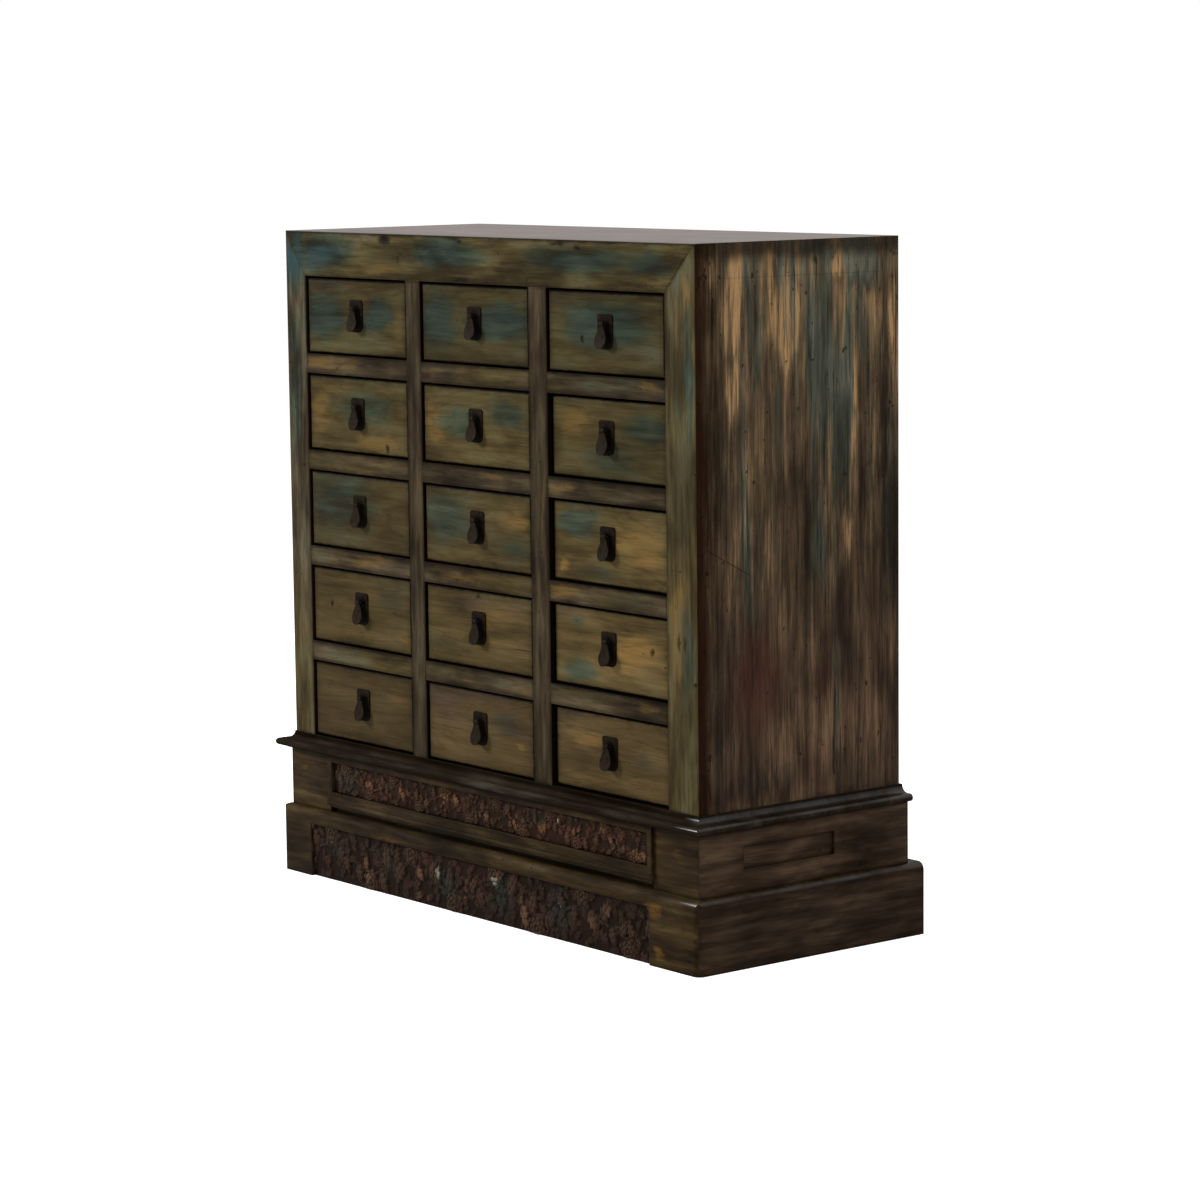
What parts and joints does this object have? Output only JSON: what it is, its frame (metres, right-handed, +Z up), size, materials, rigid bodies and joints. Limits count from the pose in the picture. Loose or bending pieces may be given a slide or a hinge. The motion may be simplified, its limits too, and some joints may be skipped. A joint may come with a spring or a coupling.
{
  "type": "chinese medicine cabinet",
  "caption": "Low pharmacy chest with small drawers in a mitred face frame, iron drop pulls, and a waisted stand with carved frieze and apron.",
  "frame": {"origin": "centre of the footprint on the floor", "axes": "+X to the right seen from the front, -Y out of the drawer fronts, +Z up"},
  "size_m": [1.1, 0.46, 1.072],
  "materials": {
    "face_paint": "worn olive and ochre paint with blue patches",
    "drawer_paint": "worn olive and ochre paint with blue patches",
    "side_stain": "streaked dark brown over ochre",
    "top_stain": "polished dark brown",
    "raw_wood": "bare, aged",
    "ledge_stain": "dark, worn",
    "stand_paint": "worn olive paint over brown",
    "carved_stain": "dark red-brown, rubbed on the high spots",
    "dark_iron": "forged, dull"
  },
  "bodies": {
    "carcass": {"front_posts": "face_paint", "front_top_rail": "face_paint", "column_uprights": "face_paint", "row_rails": "face_paint", "rear_frame": "side_stain", "side_top_rails": "side_stain", "side_panels": "side_stain", "top_panel": "top_stain", "back_panel": "raw_wood", "bottom_panel": "raw_wood", "drawer_guides": "raw_wood", "ledge_frame": "ledge_stain", "waist": "stand_paint", "carved_boards": "carved_stain", "plinth": "stand_paint"},
    "drawer_row1_left": {"drawer_row1_left": "drawer_paint", "plate_row1_left": "dark_iron"},
    "pull_row1_left": {"pull_row1_left": "dark_iron"},
    "drawer_row1_middle": {"drawer_row1_middle": "drawer_paint", "plate_row1_middle": "dark_iron"},
    "pull_row1_middle": {"pull_row1_middle": "dark_iron"},
    "drawer_row1_right": {"drawer_row1_right": "drawer_paint", "plate_row1_right": "dark_iron"},
    "pull_row1_right": {"pull_row1_right": "dark_iron"},
    "drawer_row2_left": {"drawer_row2_left": "drawer_paint", "plate_row2_left": "dark_iron"},
    "pull_row2_left": {"pull_row2_left": "dark_iron"},
    "drawer_row2_middle": {"drawer_row2_middle": "drawer_paint", "plate_row2_middle": "dark_iron"},
    "pull_row2_middle": {"pull_row2_middle": "dark_iron"},
    "drawer_row2_right": {"drawer_row2_right": "drawer_paint", "plate_row2_right": "dark_iron"},
    "pull_row2_right": {"pull_row2_right": "dark_iron"},
    "drawer_row3_left": {"drawer_row3_left": "drawer_paint", "plate_row3_left": "dark_iron"},
    "pull_row3_left": {"pull_row3_left": "dark_iron"},
    "drawer_row3_middle": {"drawer_row3_middle": "drawer_paint", "plate_row3_middle": "dark_iron"},
    "pull_row3_middle": {"pull_row3_middle": "dark_iron"},
    "drawer_row3_right": {"drawer_row3_right": "drawer_paint", "plate_row3_right": "dark_iron"},
    "pull_row3_right": {"pull_row3_right": "dark_iron"},
    "drawer_row4_left": {"drawer_row4_left": "drawer_paint", "plate_row4_left": "dark_iron"},
    "pull_row4_left": {"pull_row4_left": "dark_iron"},
    "drawer_row4_middle": {"drawer_row4_middle": "drawer_paint", "plate_row4_middle": "dark_iron"},
    "pull_row4_middle": {"pull_row4_middle": "dark_iron"},
    "drawer_row4_right": {"drawer_row4_right": "drawer_paint", "plate_row4_right": "dark_iron"},
    "pull_row4_right": {"pull_row4_right": "dark_iron"},
    "drawer_row5_left": {"drawer_row5_left": "drawer_paint", "plate_row5_left": "dark_iron"},
    "pull_row5_left": {"pull_row5_left": "dark_iron"},
    "drawer_row5_middle": {"drawer_row5_middle": "drawer_paint", "plate_row5_middle": "dark_iron"},
    "pull_row5_middle": {"pull_row5_middle": "dark_iron"},
    "drawer_row5_right": {"drawer_row5_right": "drawer_paint", "plate_row5_right": "dark_iron"},
    "pull_row5_right": {"pull_row5_right": "dark_iron"}
  },
  "joints": [
    {"name": "slide_row1_left", "type": "slide", "parent": "carcass", "child": "drawer_row1_left", "axis": [0, -1, 0], "range_m": [0, 0.28]},
    {"name": "swing_row1_left", "type": "hinge", "parent": "drawer_row1_left", "child": "pull_row1_left", "pos_m": [-0.32767, -0.2101, 0.9495], "axis": [-1, 0, 0], "range_deg": [0, 100]},
    {"name": "slide_row1_middle", "type": "slide", "parent": "carcass", "child": "drawer_row1_middle", "axis": [0, -1, 0], "range_m": [0, 0.28]},
    {"name": "swing_row1_middle", "type": "hinge", "parent": "drawer_row1_middle", "child": "pull_row1_middle", "pos_m": [-0.009, -0.2101, 0.9495], "axis": [-1, 0, 0], "range_deg": [0, 100]},
    {"name": "slide_row1_right", "type": "slide", "parent": "carcass", "child": "drawer_row1_right", "axis": [0, -1, 0], "range_m": [0, 0.28]},
    {"name": "swing_row1_right", "type": "hinge", "parent": "drawer_row1_right", "child": "pull_row1_right", "pos_m": [0.31567, -0.2101, 0.9495], "axis": [-1, 0, 0], "range_deg": [0, 100]},
    {"name": "slide_row2_left", "type": "slide", "parent": "carcass", "child": "drawer_row2_left", "axis": [0, -1, 0], "range_m": [0, 0.28]},
    {"name": "swing_row2_left", "type": "hinge", "parent": "drawer_row2_left", "child": "pull_row2_left", "pos_m": [-0.32767, -0.2101, 0.7905], "axis": [-1, 0, 0], "range_deg": [0, 100]},
    {"name": "slide_row2_middle", "type": "slide", "parent": "carcass", "child": "drawer_row2_middle", "axis": [0, -1, 0], "range_m": [0, 0.28]},
    {"name": "swing_row2_middle", "type": "hinge", "parent": "drawer_row2_middle", "child": "pull_row2_middle", "pos_m": [-0.009, -0.2101, 0.7905], "axis": [-1, 0, 0], "range_deg": [0, 100]},
    {"name": "slide_row2_right", "type": "slide", "parent": "carcass", "child": "drawer_row2_right", "axis": [0, -1, 0], "range_m": [0, 0.28]},
    {"name": "swing_row2_right", "type": "hinge", "parent": "drawer_row2_right", "child": "pull_row2_right", "pos_m": [0.31067, -0.2056, 0.7905], "axis": [-1, 0, 0], "range_deg": [0, 100]},
    {"name": "slide_row3_left", "type": "slide", "parent": "carcass", "child": "drawer_row3_left", "axis": [0, -1, 0], "range_m": [0, 0.28]},
    {"name": "swing_row3_left", "type": "hinge", "parent": "drawer_row3_left", "child": "pull_row3_left", "pos_m": [-0.32767, -0.2101, 0.6315], "axis": [-1, 0, 0], "range_deg": [0, 100]},
    {"name": "slide_row3_middle", "type": "slide", "parent": "carcass", "child": "drawer_row3_middle", "axis": [0, -1, 0], "range_m": [0, 0.28]},
    {"name": "swing_row3_middle", "type": "hinge", "parent": "drawer_row3_middle", "child": "pull_row3_middle", "pos_m": [-0.009, -0.2101, 0.6315], "axis": [-1, 0, 0], "range_deg": [0, 100]},
    {"name": "slide_row3_right", "type": "slide", "parent": "carcass", "child": "drawer_row3_right", "axis": [0, -1, 0], "range_m": [0, 0.28]},
    {"name": "swing_row3_right", "type": "hinge", "parent": "drawer_row3_right", "child": "pull_row3_right", "pos_m": [0.31067, -0.2056, 0.6315], "axis": [-1, 0, 0], "range_deg": [0, 100]},
    {"name": "slide_row4_left", "type": "slide", "parent": "carcass", "child": "drawer_row4_left", "axis": [0, -1, 0], "range_m": [0, 0.28]},
    {"name": "swing_row4_left", "type": "hinge", "parent": "drawer_row4_left", "child": "pull_row4_left", "pos_m": [-0.32767, -0.2101, 0.4725], "axis": [-1, 0, 0], "range_deg": [0, 100]},
    {"name": "slide_row4_middle", "type": "slide", "parent": "carcass", "child": "drawer_row4_middle", "axis": [0, -1, 0], "range_m": [0, 0.28]},
    {"name": "swing_row4_middle", "type": "hinge", "parent": "drawer_row4_middle", "child": "pull_row4_middle", "pos_m": [-0.009, -0.2101, 0.4725], "axis": [-1, 0, 0], "range_deg": [0, 100]},
    {"name": "slide_row4_right", "type": "slide", "parent": "carcass", "child": "drawer_row4_right", "axis": [0, -1, 0], "range_m": [0, 0.28]},
    {"name": "swing_row4_right", "type": "hinge", "parent": "drawer_row4_right", "child": "pull_row4_right", "pos_m": [0.31067, -0.2056, 0.4725], "axis": [-1, 0, 0], "range_deg": [0, 100]},
    {"name": "slide_row5_left", "type": "slide", "parent": "carcass", "child": "drawer_row5_left", "axis": [0, -1, 0], "range_m": [0, 0.28]},
    {"name": "swing_row5_left", "type": "hinge", "parent": "drawer_row5_left", "child": "pull_row5_left", "pos_m": [-0.32767, -0.2101, 0.3135], "axis": [-1, 0, 0], "range_deg": [0, 100]},
    {"name": "slide_row5_middle", "type": "slide", "parent": "carcass", "child": "drawer_row5_middle", "axis": [0, -1, 0], "range_m": [0, 0.28]},
    {"name": "swing_row5_middle", "type": "hinge", "parent": "drawer_row5_middle", "child": "pull_row5_middle", "pos_m": [-0.009, -0.2101, 0.3135], "axis": [-1, 0, 0], "range_deg": [0, 100]},
    {"name": "slide_row5_right", "type": "slide", "parent": "carcass", "child": "drawer_row5_right", "axis": [0, -1, 0], "range_m": [0, 0.28]},
    {"name": "swing_row5_right", "type": "hinge", "parent": "drawer_row5_right", "child": "pull_row5_right", "pos_m": [0.31067, -0.2056, 0.3135], "axis": [-1, 0, 0], "range_deg": [0, 100]}
  ]
}
